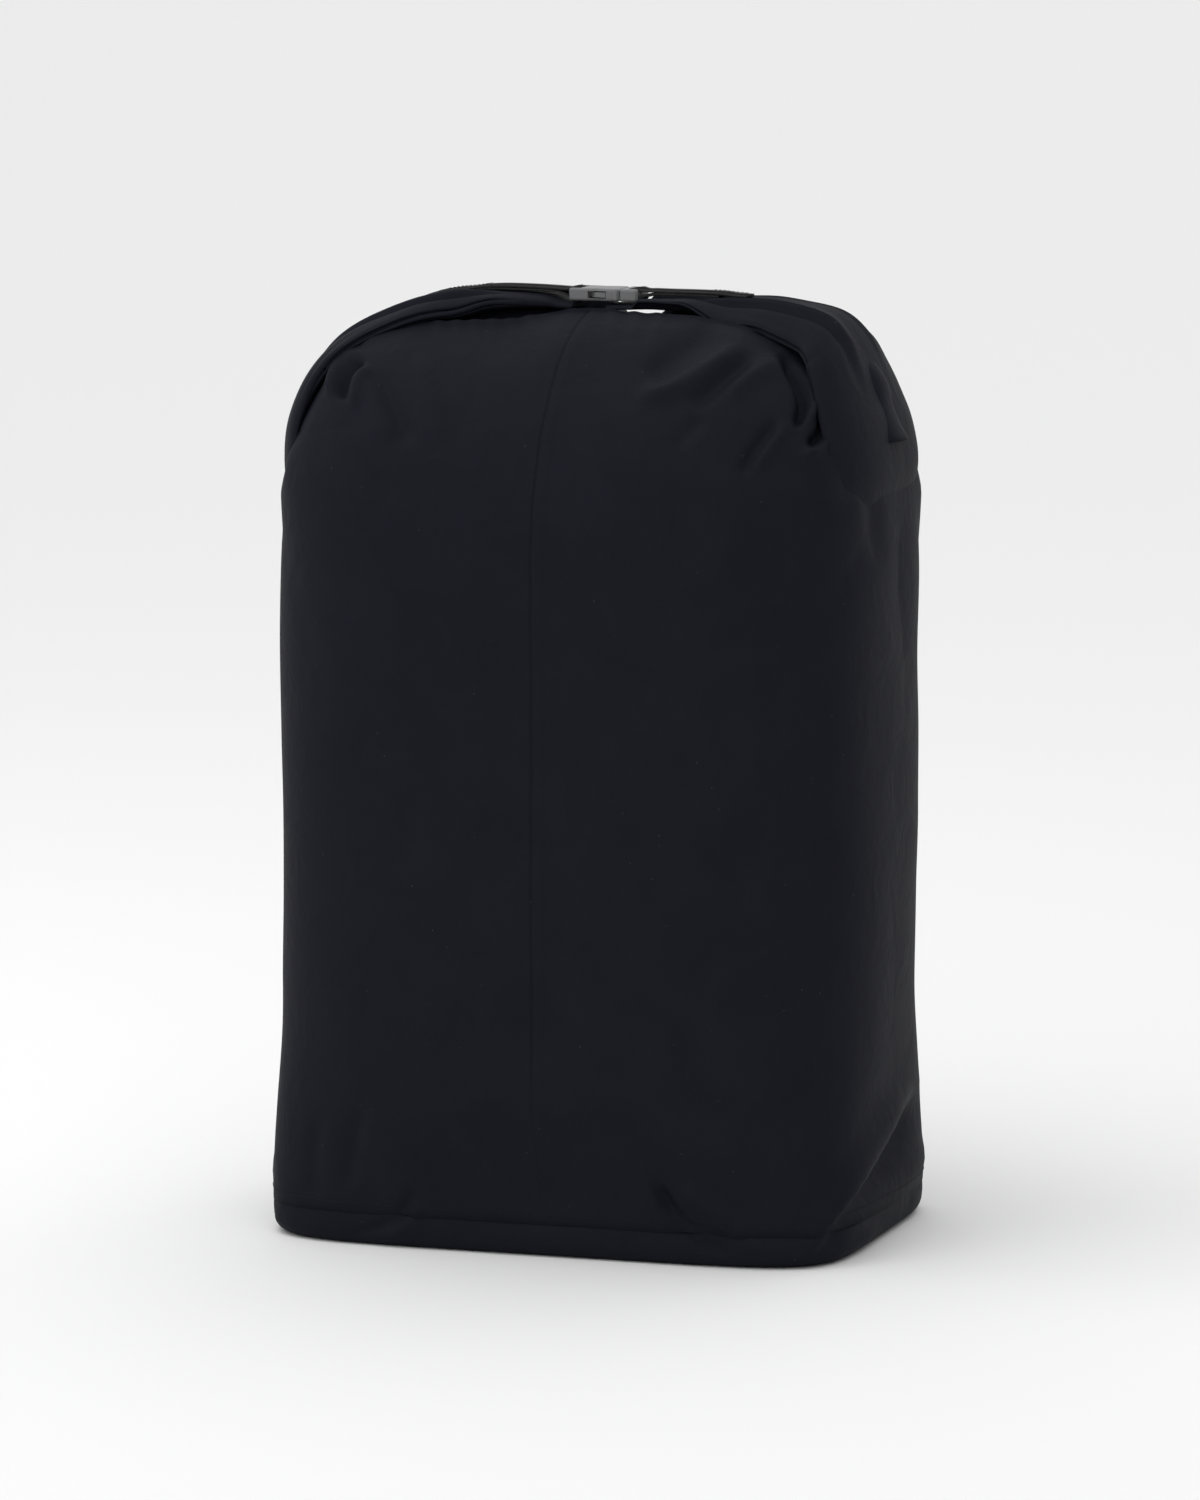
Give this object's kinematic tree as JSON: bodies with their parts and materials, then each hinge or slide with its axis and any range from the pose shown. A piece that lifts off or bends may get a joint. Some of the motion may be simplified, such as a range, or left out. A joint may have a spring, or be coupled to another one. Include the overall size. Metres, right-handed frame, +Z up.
{
  "type": "roll-top compression sack",
  "caption": "Stuffed roll-top fabric sack with a flat sewn base, a rolled mouth folded back into a carry loop and a side-release buckle that holds it shut.",
  "frame": {"origin": "middle of the footprint, on the floor", "axes": "+Z up; the front with the long seam faces -Y; the roll and the carry loop lie along X"},
  "size_m": [0.3366, 0.234, 0.4984],
  "materials": {
    "sack_nylon": "coated plain-weave nylon, near-black navy, low sheen",
    "binding_tape": "matt woven binding tape",
    "webbing": "ribbed polyester webbing",
    "stiffener_plastic": "flexible polyethylene strip",
    "buckle_plastic": "moulded acetal with a finely textured face"
  },
  "bodies": {
    "sack": {"body_panel": "sack_nylon", "base_panel": "sack_nylon", "base_seam_binding": "binding_tape", "front_seam_binding": "binding_tape"},
    "roll_top": {"rolled_mouth": "sack_nylon", "rim_stiffener": "stiffener_plastic", "left_wing": "sack_nylon", "right_wing": "sack_nylon", "left_webbing_tab": "webbing", "buckle_socket": "buckle_plastic"},
    "tongue": {"buckle_tongue": "buckle_plastic", "right_webbing_tab": "webbing"},
    "front_arm": {"front_latch_arm": "buckle_plastic"},
    "rear_arm": {"rear_latch_arm": "buckle_plastic"}
  },
  "joints": [
    {"name": "roll_top_travel", "type": "slide", "parent": "sack", "child": "roll_top", "axis": [0, 0, 1], "range_m": [-0.16, 0.1], "deforming": ["body_panel", "front_seam_binding"]},
    {"name": "buckle_release", "type": "slide", "parent": "roll_top", "child": "tongue", "axis": [1, 0, 0], "range_m": [0, 0.02], "deforming": ["front_latch_arm", "rear_latch_arm", "right_webbing_tab"]},
    {"name": "front_arm_squeeze", "type": "hinge", "parent": "tongue", "child": "front_arm", "pos_m": [0.0135, -0.0062, 0.4948], "axis": [0, 0, -1], "range_deg": [0, 9], "stiffness_Nm_per_rad": 0.08},
    {"name": "rear_arm_squeeze", "type": "hinge", "parent": "tongue", "child": "rear_arm", "pos_m": [0.0135, 0.0062, 0.4948], "axis": [0, 0, 1], "range_deg": [0, 9], "stiffness_Nm_per_rad": 0.08}
  ],
  "couplings": [
    {"joint": "rear_arm_squeeze", "follows": "front_arm_squeeze", "ratio": 1}
  ]
}
